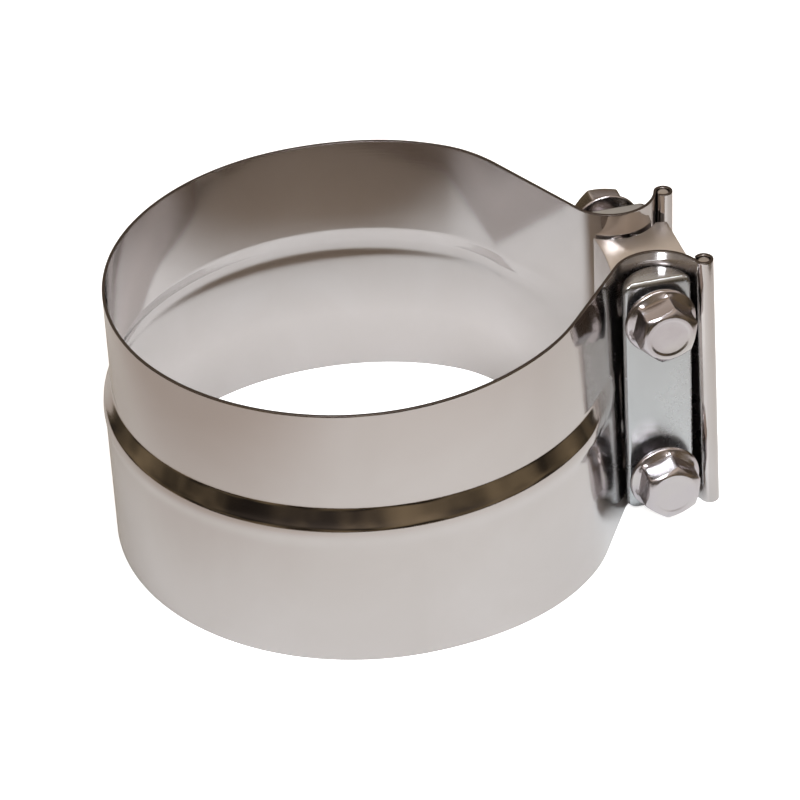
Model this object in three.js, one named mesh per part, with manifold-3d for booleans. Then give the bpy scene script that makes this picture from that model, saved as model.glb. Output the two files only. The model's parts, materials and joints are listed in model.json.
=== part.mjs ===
// Two-bolt preformed pipe repair clamp for a 5 in lapped pipe joint.
// Millimetres, +Z up. The clamp stands on its wider rim: origin at the middle of its box, on the ground.
// +X points from the ring to the bolted flanges, and the bolts lie along Y with their heads at -Y.
import * as THREE from 'three';
import { mergeVertices } from 'three/addons/utils/BufferGeometryUtils.js';
import Module from 'manifold-3d';

const wasm = await Module();
wasm.setup();

// ---- Driving dimensions ---------------------------------------------------------------------
const clampHeight = 75;
const sheet = 0.9; // strip thickness
const upperRadius = 65.4; // outside of the smaller section, at the top
const lowerRadius = 67.6; // outside of the larger section, at the bottom
const stepHeight = 44.2; // middle of the shoulder between the two sections
const stepLength = 5.8; // height over which the shoulder runs, as an even cone
const stepBend = 0.12; // share of that height taken by the bend at each end
const crestHeight = 39.4; // small swelling that the forming roll leaves under the shoulder
const crestSize = 0.35;
const crestSpread = 2.2;
const dipStart = 15; // degrees of ring past the corner where the upper wall still leans in or out
const flareStart = 8; // the same for the lower wall
const flareSpan = 42; // degrees over which the bottom rim comes back to its circle
const closureOffset = 4.7; // the bolted joint sits this far to -Y of the ring's centre
const arcCentreX = 74.8; // centre of the flange's curve, from the ring's centre
const arcCentreY = 21.8; // and from the joint's middle plane, at the top rim
const arcRadius = 12; // of the flange's middle surface
const arcEnd = -18; // degrees: where the flange runs into its rolled edge
const splay = 3.2; // the flanges stand this much further apart at the bottom rim
const splayOut = 1; // and this much further from the ring
const beadRadius = 2.15; // rolled edge, middle of the sheet
const beadTurn = 300; // degrees of roll
const rodRadius = 1.5;
const bandSplit = 0.3; // clearance where the two half bands meet at the back

const boltLineX = 75.2; // bolts and bars, from the ring's centre
const barWidth = 18.6;
const barThickness = 8;
const barLength = 70;
const barBottom = 1.8;
const barCorner = 1.2;
const barEndBevel = 1.8; // height of the rounding at a bar's two ends
const barEndInset = 1.1;
const barBackRadius = 10.9;
const barBackBevel = 1.3; // off the two long edges of the curved back

const boltRadius = 4.6; // 3/8 in bolt, a little under size for running clearance
const boltSpacing = 48;
const boltDrop = 0.8; // the bolts hang this far below the middle of their holes
const headAcrossFlats = 14.3;
const headFlangeRadius = 9.6;
const headFlangeThickness = 1.6;
const headHeight = 9.1;
const headRoot = 1.2; // cone between the flange and the hex
const chamferDepth = 2; // of the hex corners, measured one millimetre outside them
const chamferCircle = 0.88; // chamfer circle on the hex end, against the flats
const edgeBreak = 0.3;
const roundSides = 24;
const upperHeadStandOff = 1.4;
const lowerHeadStandOff = 2.7;
const upperHeadTurn = 12; // degrees from a corner pointing straight up
const lowerHeadTurn = 9;
const boltReach = 39.5; // tip of the bolt, past the joint's middle plane
const tipChamfer = 0.9;
const barHoleRadius = 6.3;
const flangeHoleRadius = 6.9;
const blockHoleRadius = 5.8;
const drillReach = 14;

const nutHeight = 8.9;
const nutBoreRadius = 4.98;
const nutFlangeRadius = 9.5;
const nutFlangeThickness = 1.5;
const nutTurn = 38;
const closeTravel = 6.35; // how far the front flange closes up: 8 turns, shared with the nuts
const nutStandOff = closeTravel + 0.45; // from the rear bar, before the bolts are tightened

const blockTop = 67.8;
const blockBottom = 5.6;
const blockInnerRadius = 67.4; // concave end towards the pipe, about the ring's centre
const blockOuterX = 88;
const blockGap = 0.5; // to the rear flange, and to the front one once it has closed
const blockHalfWidth = 13.2;

// Each side's panel leaves the ring at its own angle, because the joint is off centre.
const sides = {
  rear: { y: 1, cornerAngle: 46, topDip: -0.8, dipSpan: 30, bottomFlare: 1.2, filletLength: 10 },
  front: { y: -1, cornerAngle: 39, topDip: 2.3, dipSpan: 58, bottomFlare: 1.9, filletLength: 6 },
};

const beadCentreReach = arcRadius + beadRadius;
const outerX = arcCentreX + splayOut + beadCentreReach * Math.cos(radians(arcEnd)) + beadRadius + sheet / 2;
const widestRadius = mix(upperRadius, lowerRadius, stepShare(crestHeight)) + crestSize;
const ringX = (widestRadius - outerX) / 2; // puts the origin at the middle of the box
const jointX = ringX + boltLineX;
const jointY = -closureOffset;
const boltHeights = {
  upper: (clampHeight + boltSpacing) / 2 - boltDrop,
  lower: (clampHeight - boltSpacing) / 2 - boltDrop,
};

function radians(degrees) {
  return degrees * Math.PI / 180;
}

function mix(a, b, t) {
  return a + (b - a) * t;
}

function smooth(t) {
  const u = Math.min(1, Math.max(0, t));
  return u * u * (3 - 2 * u);
}

// ---- The strip's outline at one height ------------------------------------------------------
// All outlines are in plan, from the ring's centre, with v measured towards the side's own flange.

// 0 above the shoulder and 1 below it, straight between its two bends.
function stepShare(z) {
  const t = Math.min(1, Math.max(0, (stepHeight + stepLength / 2 - z) / stepLength));
  const bendScale = 2 * stepBend * (1 - stepBend);
  if (t < stepBend) {
    return t * t / bendScale;
  }
  if (t > 1 - stepBend) {
    return 1 - (1 - t) ** 2 / bendScale;
  }
  return (t - stepBend / 2) / (1 - stepBend);
}

function crest(z) {
  return crestSize * Math.exp(-(((z - crestHeight) / crestSpread) ** 2));
}

// Near the joint the walls lean, from the shoulder to the rims.
function ringRadius(angle, z, side) {
  const past = angle - side.cornerAngle;
  const dip = side.topDip * (1 - smooth((past - dipStart) / side.dipSpan));
  const flare = side.bottomFlare * (1 - smooth((past - flareStart) / flareSpan));
  const wallStart = stepHeight + stepLength / 2;
  const wallEnd = stepHeight - stepLength / 2;
  const above = Math.max(0, z - wallStart) / (clampHeight - wallStart);
  const below = Math.max(0, wallEnd - z) / wallEnd;
  const stepped = mix(upperRadius, lowerRadius, stepShare(z)) + crest(z);
  return stepped - dip * above + flare * below - sheet / 2;
}

function ringPoint(angle, z, side) {
  const r = ringRadius(angle, z, side);
  return new THREE.Vector2(r * Math.cos(radians(angle)), r * Math.sin(radians(angle)));
}

function arcCentre(z, side) {
  const low = 1 - z / clampHeight;
  return new THREE.Vector2(arcCentreX + splayOut * low, arcCentreY + splay * low - side.y * closureOffset);
}

function onCircle(centre, radius, degrees) {
  const a = radians(degrees);
  return new THREE.Vector2(centre.x + radius * Math.cos(a), centre.y + radius * Math.sin(a));
}

// Where the line through a along u meets the line through b along v.
function crossing(a, u, b, v) {
  const share = b.clone().sub(a).cross(v) / u.cross(v);
  return a.clone().addScaledVector(u, share);
}

// Points of the sheet's middle surface from the back of the ring to the end of the rolled edge.
function stripPath(z, side) {
  const points = [];
  const corner = ringPoint(side.cornerAngle, z, side);
  const centre = arcCentre(z, side);
  const toCentre = centre.clone().sub(corner);
  const bearing = THREE.MathUtils.radToDeg(Math.atan2(toCentre.y, toCentre.x));
  const swing = THREE.MathUtils.radToDeg(Math.asin(arcRadius / toCentre.length()));
  const heading = bearing - swing;
  const touch = onCircle(centre, arcRadius, heading - 90);

  const ringStart = 180 - THREE.MathUtils.radToDeg(bandSplit / 2 / upperRadius);
  const ringEnd = side.cornerAngle + THREE.MathUtils.radToDeg(side.filletLength / upperRadius);
  const ringSteps = 30;
  for (let i = 0; i < ringSteps; i++) {
    points.push(ringPoint(mix(ringStart, ringEnd, i / ringSteps), z, side));
  }

  // The ring turns into the panel through a curve that is tangent to both.
  const filletStart = ringPoint(ringEnd, z, side);
  const ringDirection = filletStart.clone().sub(ringPoint(ringEnd + 1, z, side)).normalize();
  const panelDirection = touch.clone().sub(corner).normalize();
  const bend = crossing(filletStart, ringDirection, corner, panelDirection);
  const filletEnd = bend.clone().addScaledVector(panelDirection, side.filletLength);
  const fillet = new THREE.QuadraticBezierCurve(filletStart, bend, filletEnd);
  const filletSteps = 6;
  points.push(...fillet.getPoints(filletSteps));
  points.push(filletEnd.clone().lerp(touch, 0.5));

  const arcSteps = 12;
  for (let i = 0; i <= arcSteps; i++) {
    points.push(onCircle(centre, arcRadius, mix(heading - 90, arcEnd, i / arcSteps)));
  }
  const beadCentre = onCircle(centre, beadCentreReach, arcEnd);
  const beadSteps = 15;
  for (let i = 1; i <= beadSteps; i++) {
    points.push(onCircle(beadCentre, beadRadius, 180 + arcEnd - beadTurn * i / beadSteps));
  }
  return points;
}

function leftNormal(points, i) {
  const before = points[Math.max(0, i - 1)];
  const after = points[Math.min(points.length - 1, i + 1)];
  const along = after.clone().sub(before).normalize();
  return new THREE.Vector2(-along.y, along.x);
}

// ---- Solids ---------------------------------------------------------------------------------

function toSolid(geometry) {
  const bare = geometry.clone();
  bare.deleteAttribute('normal');
  bare.deleteAttribute('uv');
  const merged = mergeVertices(bare, 1e-4);
  return new wasm.Manifold(new wasm.Mesh({
    numProp: 3,
    vertProperties: new Float32Array(merged.attributes.position.array),
    triVerts: new Uint32Array(merged.index.array),
  }));
}

function toGeometry(solid) {
  const mesh = solid.getMesh();
  const geometry = new THREE.BufferGeometry();
  geometry.setAttribute('position', new THREE.BufferAttribute(new Float32Array(mesh.vertProperties), 3));
  geometry.setIndex(new THREE.BufferAttribute(new Uint32Array(mesh.triVerts), 1));
  geometry.computeVertexNormals();
  return geometry;
}

function placed(geometry, matrix) {
  return geometry.clone().applyMatrix4(matrix);
}

// A cylinder along Y between two values of y.
function cylinderAlongY(radius, x, z, from, to) {
  const geometry = new THREE.CylinderGeometry(radius, radius, to - from, roundSides);
  return geometry.translate(x, (from + to) / 2, z);
}

// The drill for one bolt hole, long enough for any piece it passes through.
function drill(radius, x, z, middleY) {
  return toSolid(cylinderAlongY(radius, x, z, middleY - drillReach, middleY + drillReach));
}

// Quads between neighbouring rings of points, and over the two ends.
function closedSweep(sections) {
  const count = sections[0].length;
  const positions = sections.flat().flatMap((p) => [p.x, p.y, p.z]);
  const index = [];
  const quad = (a, b, c, d) => index.push(a, b, c, a, c, d);
  for (let s = 0; s + 1 < sections.length; s++) {
    for (let k = 0; k < count; k++) {
      const next = (k + 1) % count;
      quad(s * count + k, s * count + next, (s + 1) * count + next, (s + 1) * count + k);
    }
  }
  const last = (sections.length - 1) * count;
  for (let k = 0; k + 1 < count / 2; k++) {
    quad(k + 1, k, count - 1 - k, count - 2 - k);
    quad(last + k, last + k + 1, last + count - 2 - k, last + count - 1 - k);
  }
  const geometry = new THREE.BufferGeometry();
  geometry.setAttribute('position', new THREE.Float32BufferAttribute(positions, 3));
  geometry.setIndex(index);
  return geometry;
}

function facingOut(geometry) {
  const p = geometry.attributes.position;
  const at = (i) => new THREE.Vector3().fromBufferAttribute(p, geometry.index.getX(i));
  let volume = 0;
  for (let t = 0; t < geometry.index.count; t += 3) {
    volume += at(t).dot(at(t + 1).cross(at(t + 2)));
  }
  if (volume < 0) {
    const flipped = Array.from(geometry.index.array).reverse();
    geometry.setIndex(flipped);
  }
  return geometry;
}

// Close together over the crest and the shoulder, and few on the even sections.
function stripHeights() {
  const shoulderLow = crestHeight - 3.4;
  const shoulderHigh = stepHeight + stepLength / 2;
  const heights = [0, shoulderLow / 2];
  const shoulderSteps = 10;
  for (let i = 0; i <= shoulderSteps; i++) {
    heights.push(mix(shoulderLow, shoulderHigh, i / shoulderSteps));
  }
  return [...heights, (shoulderHigh + clampHeight) / 2, clampHeight];
}

// Half of the strip, with its panel, flange and rolled edge: one closed sheet of even thickness.
function halfBand(side) {
  const heights = stripHeights();
  const paths = heights.map((z) => stripPath(z, side));
  const sections = paths[0].map((_, i) => {
    const outer = [];
    const inner = [];
    heights.forEach((z, j) => {
      const point = paths[j][i];
      const normal = leftNormal(paths[j], i).multiplyScalar(sheet / 2);
      const out = point.clone().add(normal);
      const into = point.clone().sub(normal);
      outer.push(new THREE.Vector3(ringX + out.x, side.y * out.y, z));
      inner.push(new THREE.Vector3(ringX + into.x, side.y * into.y, z));
    });
    return [...outer, ...inner.reverse()];
  });
  let solid = toSolid(facingOut(closedSweep(sections)));
  const flangeMiddle = jointY + side.y * (arcCentreY - arcRadius);
  for (const z of Object.values(boltHeights)) {
    solid = solid.subtract(drill(flangeHoleRadius, ringX + arcCentreX, z + boltDrop, flangeMiddle));
  }
  return toGeometry(solid);
}

// Rod inside the rolled edge. It follows the splay of the flange.
function beadRod(side) {
  const rodEnd = 0.3; // set back from the rims
  const axisPoint = (z) => {
    const c = onCircle(arcCentre(z, side), beadCentreReach, arcEnd);
    return new THREE.Vector3(ringX + c.x, side.y * c.y, z);
  };
  const low = axisPoint(rodEnd);
  const high = axisPoint(clampHeight - rodEnd);
  const geometry = new THREE.CylinderGeometry(rodRadius, rodRadius, low.distanceTo(high), 16);
  const turn = new THREE.Quaternion().setFromUnitVectors(
    new THREE.Vector3(0, 1, 0), high.clone().sub(low).normalize());
  const middle = low.clone().add(high).multiplyScalar(0.5);
  return placed(geometry, new THREE.Matrix4().compose(middle, turn, new THREE.Vector3(1, 1, 1)));
}

// Plan section of a tension bar: flat outer face, curved back that nests in the flange.
function barSection() {
  const half = barWidth / 2;
  const sag = barBackRadius - Math.sqrt(barBackRadius ** 2 - half ** 2);
  const edge = barThickness - sag; // thickness left at the bar's long edges
  const spread = Math.asin(half / barBackRadius) - barBackBevel / barBackRadius;
  const shape = new THREE.Shape();
  shape.moveTo(-half + barCorner, 0);
  shape.lineTo(half - barCorner, 0);
  shape.absarc(half - barCorner, barCorner, barCorner, -Math.PI / 2, 0, false);
  shape.lineTo(half, edge - barBackBevel);
  shape.absarc(0, barThickness - barBackRadius, barBackRadius, Math.PI / 2 - spread, Math.PI / 2 + spread, false);
  shape.lineTo(-half, edge - barBackBevel);
  shape.lineTo(-half, barCorner);
  shape.absarc(-half + barCorner, barCorner, barCorner, Math.PI, Math.PI * 1.5, false);
  return shape;
}

// Distance of a bar's outer face from the joint's middle plane at a height.
function barFace(z) {
  return arcCentreY - barBackRadius + barThickness + splay * (1 - z / clampHeight);
}

// The bar leans with its flange. Its outer face is at y = 0 of its own frame, its back towards +y.
function tensionBar(side) {
  const bar = new THREE.ExtrudeGeometry(barSection(), {
    depth: barLength - 2 * barEndBevel,
    bevelThickness: barEndBevel,
    bevelSize: barEndInset,
    bevelOffset: -barEndInset,
    bevelSegments: 3,
    curveSegments: 10,
  });
  bar.translate(0, 0, barEndBevel - barLength / 2);
  const middleHeight = barBottom + barLength / 2;
  const faceY = jointY + side.y * barFace(middleHeight);
  const matrix = new THREE.Matrix4().makeTranslation(jointX, faceY, middleHeight);
  const lean = Math.atan(splay / clampHeight);
  matrix.multiply(new THREE.Matrix4().makeRotationX(side.y * lean));
  if (side.y > 0) {
    matrix.multiply(new THREE.Matrix4().makeRotationZ(Math.PI));
  }
  let solid = toSolid(placed(bar, matrix));
  for (const z of Object.values(boltHeights)) {
    solid = solid.subtract(drill(barHoleRadius, jointX, z + boltDrop, faceY));
  }
  return toGeometry(solid);
}

// Spacer between the flanges. Its sides follow the flanges, its inner end follows the pipe.
function spacerBlock() {
  const outline = new THREE.Shape();
  const innerAngle = Math.asin(blockHalfWidth / blockInnerRadius);
  outline.absarc(-boltLineX, closureOffset, blockInnerRadius, innerAngle, -innerAngle, true);
  outline.lineTo(blockOuterX - boltLineX, -blockHalfWidth + closeTravel);
  outline.lineTo(blockOuterX - boltLineX, blockHalfWidth);
  const block = new THREE.ExtrudeGeometry(outline, {
    depth: blockTop - blockBottom,
    bevelEnabled: false,
    curveSegments: 12,
  });
  block.translate(jointX, jointY, blockBottom);
  let solid = toSolid(block);
  const hollowRadius = arcRadius + sheet / 2 + blockGap;
  const closedShift = closeTravel * arcCentreY / (arcCentreX + upperRadius);
  const rearHollow = new THREE.CylinderGeometry(hollowRadius, hollowRadius, clampHeight, 48);
  rearHollow.rotateX(Math.PI / 2).translate(ringX + arcCentreX, jointY + arcCentreY, clampHeight / 2);
  const frontHollow = new THREE.CylinderGeometry(hollowRadius, hollowRadius, clampHeight, 48);
  frontHollow.rotateX(Math.PI / 2);
  frontHollow.translate(ringX + arcCentreX + closedShift, jointY - arcCentreY + closeTravel, clampHeight / 2);
  solid = solid.subtract(toSolid(rearHollow)).subtract(toSolid(frontHollow));
  for (const z of Object.values(boltHeights)) {
    solid = solid.subtract(drill(blockHoleRadius, jointX, z, jointY));
  }
  return toGeometry(solid);
}

// Hexagonal prism along Y from its buried root to its free end, where the corners are taken off.
function chamferedHex(root, end, turn) {
  const cornerRadius = headAcrossFlats / Math.sqrt(3);
  const flatRadius = headAcrossFlats / 2;
  const outside = cornerRadius + 1;
  const chamferStart = end - Math.sign(end - root) * chamferDepth;
  const hex = new THREE.CylinderGeometry(cornerRadius, cornerRadius, Math.abs(end - root), 6);
  hex.rotateY(radians(turn)).translate(0, (root + end) / 2, 0);
  const profile = [
    new THREE.Vector2(0, root),
    new THREE.Vector2(outside, root),
    new THREE.Vector2(outside, chamferStart),
    new THREE.Vector2(flatRadius * chamferCircle, end),
    new THREE.Vector2(0, end),
  ];
  if (end < root) {
    profile.reverse();
  }
  return toSolid(hex).intersect(toSolid(new THREE.LatheGeometry(profile, roundSides)));
}

// Hex flange bolt. y = 0 is the bearing face under the head, the shank points to +Y.
function flangeBolt(length, turn) {
  const body = new THREE.LatheGeometry([
    new THREE.Vector2(0, -headFlangeThickness - headRoot),
    new THREE.Vector2(headAcrossFlats / 2, -headFlangeThickness - headRoot),
    new THREE.Vector2(headFlangeRadius - edgeBreak, -headFlangeThickness),
    new THREE.Vector2(headFlangeRadius, -headFlangeThickness + edgeBreak),
    new THREE.Vector2(headFlangeRadius, -edgeBreak),
    new THREE.Vector2(headFlangeRadius - edgeBreak, 0),
    new THREE.Vector2(boltRadius, 0),
    new THREE.Vector2(boltRadius, length - tipChamfer),
    new THREE.Vector2(boltRadius - tipChamfer, length),
    new THREE.Vector2(0, length),
  ], roundSides);
  return toSolid(body).add(chamferedHex(-headFlangeThickness / 2, -headHeight, turn));
}

function placedBolt(which, standOff, turn) {
  const z = boltHeights[which];
  const bearingY = jointY - barFace(z) - standOff;
  const length = jointY + boltReach - bearingY;
  const solid = flangeBolt(length, turn);
  return placed(toGeometry(solid), new THREE.Matrix4().makeTranslation(jointX, bearingY, z));
}

// Hex flange nut. y = 0 is its bearing face, the rest of it is towards +Y.
function placedNut(which) {
  const z = boltHeights[which];
  const flange = new THREE.LatheGeometry([
    new THREE.Vector2(0, 0),
    new THREE.Vector2(nutFlangeRadius - edgeBreak, 0),
    new THREE.Vector2(nutFlangeRadius, edgeBreak),
    new THREE.Vector2(nutFlangeRadius, nutFlangeThickness - edgeBreak),
    new THREE.Vector2(nutFlangeRadius - edgeBreak, nutFlangeThickness),
    new THREE.Vector2(headAcrossFlats / 2, nutFlangeThickness + headRoot),
    new THREE.Vector2(0, nutFlangeThickness + headRoot),
  ], roundSides);
  const hex = chamferedHex(nutFlangeThickness / 2, nutHeight, nutTurn);
  const bore = cylinderAlongY(nutBoreRadius, 0, 0, -1, nutHeight + 1);
  const solid = toSolid(flange).add(hex).subtract(toSolid(bore));
  const y = jointY + barFace(z) + nutStandOff;
  return placed(toGeometry(solid), new THREE.Matrix4().makeTranslation(jointX, y, z));
}

// ---- Assembly -------------------------------------------------------------------------------

const finishes = {
  stainless: { color: 0xb9b2ad, roughness: 0.12, metalness: 1 },
  zinc: { color: 0xb6b8bb, roughness: 0.28, metalness: 1 },
  boltZinc: { color: 0xb5aeb0, roughness: 0.24, metalness: 1 },
  pinSteel: { color: 0xa8a29b, roughness: 0.35, metalness: 1 },
  spacerSteel: { color: 0xa59b92, roughness: 0.3, metalness: 1 },
};

const clamp = new THREE.Group();

function addPart(name, geometry, finish) {
  const mesh = new THREE.Mesh(geometry, new THREE.MeshStandardMaterial(finishes[finish]));
  mesh.name = name;
  clamp.add(mesh);
}

for (const [name, side] of Object.entries(sides)) {
  addPart(`band_${name}_half`, halfBand(side), 'stainless');
  addPart(`${name}_edge_rod`, beadRod(side), 'pinSteel');
  addPart(`${name}_tension_bar`, tensionBar(side), 'zinc');
}
addPart('spacer_block', spacerBlock(), 'spacerSteel');
addPart('upper_flange_bolt', placedBolt('upper', upperHeadStandOff, upperHeadTurn), 'boltZinc');
addPart('lower_flange_bolt', placedBolt('lower', lowerHeadStandOff, lowerHeadTurn), 'boltZinc');
addPart('upper_flange_nut', placedNut('upper'), 'boltZinc');
addPart('lower_flange_nut', placedNut('lower'), 'boltZinc');

export default clamp;
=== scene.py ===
import json
import math

import bmesh
import bpy
from mathutils import Matrix, Vector

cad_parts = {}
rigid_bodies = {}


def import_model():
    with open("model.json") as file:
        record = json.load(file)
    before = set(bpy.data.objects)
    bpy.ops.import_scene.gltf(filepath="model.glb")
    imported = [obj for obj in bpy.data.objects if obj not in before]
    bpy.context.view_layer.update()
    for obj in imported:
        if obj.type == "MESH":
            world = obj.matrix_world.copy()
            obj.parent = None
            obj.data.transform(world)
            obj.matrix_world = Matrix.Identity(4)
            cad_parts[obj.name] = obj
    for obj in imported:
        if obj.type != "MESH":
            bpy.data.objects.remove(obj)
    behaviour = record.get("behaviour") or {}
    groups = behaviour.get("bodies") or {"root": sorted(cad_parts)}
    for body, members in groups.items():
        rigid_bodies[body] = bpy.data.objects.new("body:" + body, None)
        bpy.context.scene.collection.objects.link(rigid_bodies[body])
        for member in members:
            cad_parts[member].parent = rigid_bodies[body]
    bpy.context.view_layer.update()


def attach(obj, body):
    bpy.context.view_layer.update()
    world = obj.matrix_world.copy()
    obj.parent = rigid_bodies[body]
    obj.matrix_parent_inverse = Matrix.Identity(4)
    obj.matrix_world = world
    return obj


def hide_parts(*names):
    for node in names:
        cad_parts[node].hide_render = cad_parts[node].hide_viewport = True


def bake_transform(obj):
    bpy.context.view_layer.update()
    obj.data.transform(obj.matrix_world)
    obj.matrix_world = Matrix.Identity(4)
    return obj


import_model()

MM = 0.001

# ---- Dimensions of the CAD model, in millimetres ---------------------------------------------
CLAMP_HEIGHT = 75.0
SHEET = 0.9
UPPER_RADIUS = 65.4
LOWER_RADIUS = 67.6
STEP_HEIGHT = 44.2
STEP_LENGTH = 5.8
STEP_BEND = 0.12
CREST_HEIGHT = 39.4
CREST_SIZE = 0.35
CREST_SPREAD = 2.2
DIP_START = 15.0
FLARE_START = 8.0
FLARE_SPAN = 42.0
CLOSURE_OFFSET = 4.7
ARC_CENTRE_X = 74.8
ARC_CENTRE_Y = 21.8
ARC_RADIUS = 12.0
ARC_END = -18.0
SPLAY = 3.2
SPLAY_OUT = 1.0
BEAD_RADIUS = 2.15
BEAD_TURN = 300.0
ROD_RADIUS = 1.5
BOLT_LINE_X = 75.2
BAR_WIDTH = 18.6
BAR_THICKNESS = 8.0
BAR_LENGTH = 70.0
BAR_BOTTOM = 1.8
BAR_BACK_RADIUS = 10.9
BAR_BACK_BEVEL = 1.3
BAR_END_BEVEL = 1.8
BAR_END_INSET = 1.1
BOLT_RADIUS = 4.6
BOLT_SPACING = 48.0
BOLT_DROP = 0.8
ACROSS_FLATS = 14.3
CHAMFER_CIRCLE = 0.88
HEAD_FLANGE_RADIUS = 9.6
HEAD_FLANGE_THICKNESS = 1.6
HEAD_HEIGHT = 9.1
HEX_CORNER = 1.143  # how far a rounded corner reaches, over the flat's distance
CHAMFER_ANGLE = 32.0
BOLT_REACH = 39.5
NUT_HEIGHT = 8.9
NUT_FLANGE_RADIUS = 9.5
NUT_FLANGE_THICKNESS = 1.5
NUT_TURN = 38.0
NUT_BORE_RADIUS = 4.72
THREAD_PITCH = 1.5875
THREAD_DEPTH = 0.82
CLOSE_TRAVEL = 6.35
NUT_STAND_OFF = CLOSE_TRAVEL + 0.45
BAR_HOLE_RADIUS = 6.3
FLANGE_HOLE_RADIUS = 6.9
BLOCK_HOLE_RADIUS = 5.8
BLOCK_TOP = 67.8
BLOCK_BOTTOM = 5.6
BLOCK_INNER_RADIUS = 67.4
BLOCK_OUTER_X = 88.0
BLOCK_GAP = 0.5
BLOCK_HALF_WIDTH = 13.2
BEAD_REACH = ARC_RADIUS + BEAD_RADIUS

SIDES = {
    "rear": {"y": 1, "corner": 46.0, "dip": -0.8, "dip_span": 30.0, "flare": 1.2, "fillet": 10.0},
    "front": {"y": -1, "corner": 39.0, "dip": 2.3, "dip_span": 58.0, "flare": 1.9, "fillet": 6.0},
}
HEADS = {"upper": (1.4, 12.0), "lower": (2.7, 9.0)}  # stand-off from the bar, turn in degrees
BOLT_HEIGHTS = {
    "upper": (CLAMP_HEIGHT + BOLT_SPACING) / 2 - BOLT_DROP,
    "lower": (CLAMP_HEIGHT - BOLT_SPACING) / 2 - BOLT_DROP,
}


def mix(a, b, t):
    return a + (b - a) * t


def smooth(t):
    u = min(1.0, max(0.0, t))
    return u * u * (3 - 2 * u)


# ---- The strip's outline in plan, as in the CAD ----------------------------------------------

def step_share(z):
    """0 above the shoulder and 1 below it, straight between its two bends."""
    t = min(1.0, max(0.0, (STEP_HEIGHT + STEP_LENGTH / 2 - z) / STEP_LENGTH))
    scale = 2 * STEP_BEND * (1 - STEP_BEND)
    if t < STEP_BEND:
        return t * t / scale
    if t > 1 - STEP_BEND:
        return 1 - (1 - t) ** 2 / scale
    return (t - STEP_BEND / 2) / (1 - STEP_BEND)


outer_x = (ARC_CENTRE_X + SPLAY_OUT + BEAD_REACH * math.cos(math.radians(ARC_END))
           + BEAD_RADIUS + SHEET / 2)
widest_radius = mix(UPPER_RADIUS, LOWER_RADIUS, step_share(CREST_HEIGHT)) + CREST_SIZE
RING_X = (widest_radius - outer_x) / 2
JOINT_X = RING_X + BOLT_LINE_X
JOINT_Y = -CLOSURE_OFFSET


def on_circle(centre, radius, degrees):
    a = math.radians(degrees)
    return Vector((centre.x + radius * math.cos(a), centre.y + radius * math.sin(a)))


def ring_point(angle, z, side):
    past = angle - side["corner"]
    dip = side["dip"] * (1 - smooth((past - DIP_START) / side["dip_span"]))
    flare = side["flare"] * (1 - smooth((past - FLARE_START) / FLARE_SPAN))
    wall_start = STEP_HEIGHT + STEP_LENGTH / 2
    wall_end = STEP_HEIGHT - STEP_LENGTH / 2
    above = max(0.0, z - wall_start) / (CLAMP_HEIGHT - wall_start)
    below = max(0.0, wall_end - z) / wall_end
    crest = CREST_SIZE * math.exp(-(((z - CREST_HEIGHT) / CREST_SPREAD) ** 2))
    stepped = mix(UPPER_RADIUS, LOWER_RADIUS, step_share(z)) + crest
    return on_circle(Vector((0, 0)), stepped - dip * above + flare * below - SHEET / 2, angle)


def arc_centre(z, side):
    low = 1 - z / CLAMP_HEIGHT
    return Vector((ARC_CENTRE_X + SPLAY_OUT * low,
                   ARC_CENTRE_Y + SPLAY * low - side["y"] * CLOSURE_OFFSET))


def strip_path(z, side):
    """The sheet's middle line from the back of the ring to the end of the rolled edge."""
    corner = ring_point(side["corner"], z, side)
    centre = arc_centre(z, side)
    to_centre = centre - corner
    bearing = math.degrees(math.atan2(to_centre.y, to_centre.x))
    heading = bearing - math.degrees(math.asin(ARC_RADIUS / to_centre.length))
    touch = on_circle(centre, ARC_RADIUS, heading - 90)
    ring_end = side["corner"] + math.degrees(side["fillet"] / UPPER_RADIUS)
    points = []
    ring_steps = 96
    for i in range(ring_steps):
        points.append(ring_point(mix(180, ring_end, i / ring_steps), z, side))
    start = ring_point(ring_end, z, side)
    along = (start - ring_point(ring_end + 1, z, side)).normalized()
    panel = (touch - corner).normalized()
    bend = start + along * ((corner - start).cross(panel) / along.cross(panel))
    end = bend + panel * side["fillet"]
    fillet_steps = 16
    for i in range(fillet_steps + 1):
        t = i / fillet_steps
        points.append(start * (1 - t) ** 2 + bend * 2 * t * (1 - t) + end * t * t)
    for i in range(1, 6):
        points.append(end.lerp(touch, i / 6))
    arc_steps = 40
    for i in range(arc_steps + 1):
        points.append(on_circle(centre, ARC_RADIUS, mix(heading - 90, ARC_END, i / arc_steps)))
    bead = on_circle(centre, BEAD_REACH, ARC_END)
    bead_steps = 44
    for i in range(1, bead_steps + 1):
        points.append(on_circle(bead, BEAD_RADIUS, 180 + ARC_END - BEAD_TURN * i / bead_steps))
    return points


# ---- Mesh helpers ----------------------------------------------------------------------------

def make_object(name, verts, faces, sharp=35):
    """A smooth-shaded object from points in millimetres, with edges above an angle kept sharp."""
    mesh = bpy.data.meshes.new(name)
    mesh.from_pydata([Vector(v) * MM for v in verts], [], faces)
    bm = bmesh.new()
    bm.from_mesh(mesh)
    bmesh.ops.remove_doubles(bm, verts=bm.verts, dist=1e-7)
    bmesh.ops.recalc_face_normals(bm, faces=bm.faces)
    bm.to_mesh(mesh)
    bm.free()
    mesh.shade_smooth()
    mesh.set_sharp_from_angle(angle=math.radians(sharp))
    obj = bpy.data.objects.new(name, mesh)
    bpy.context.scene.collection.objects.link(obj)
    return obj


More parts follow.
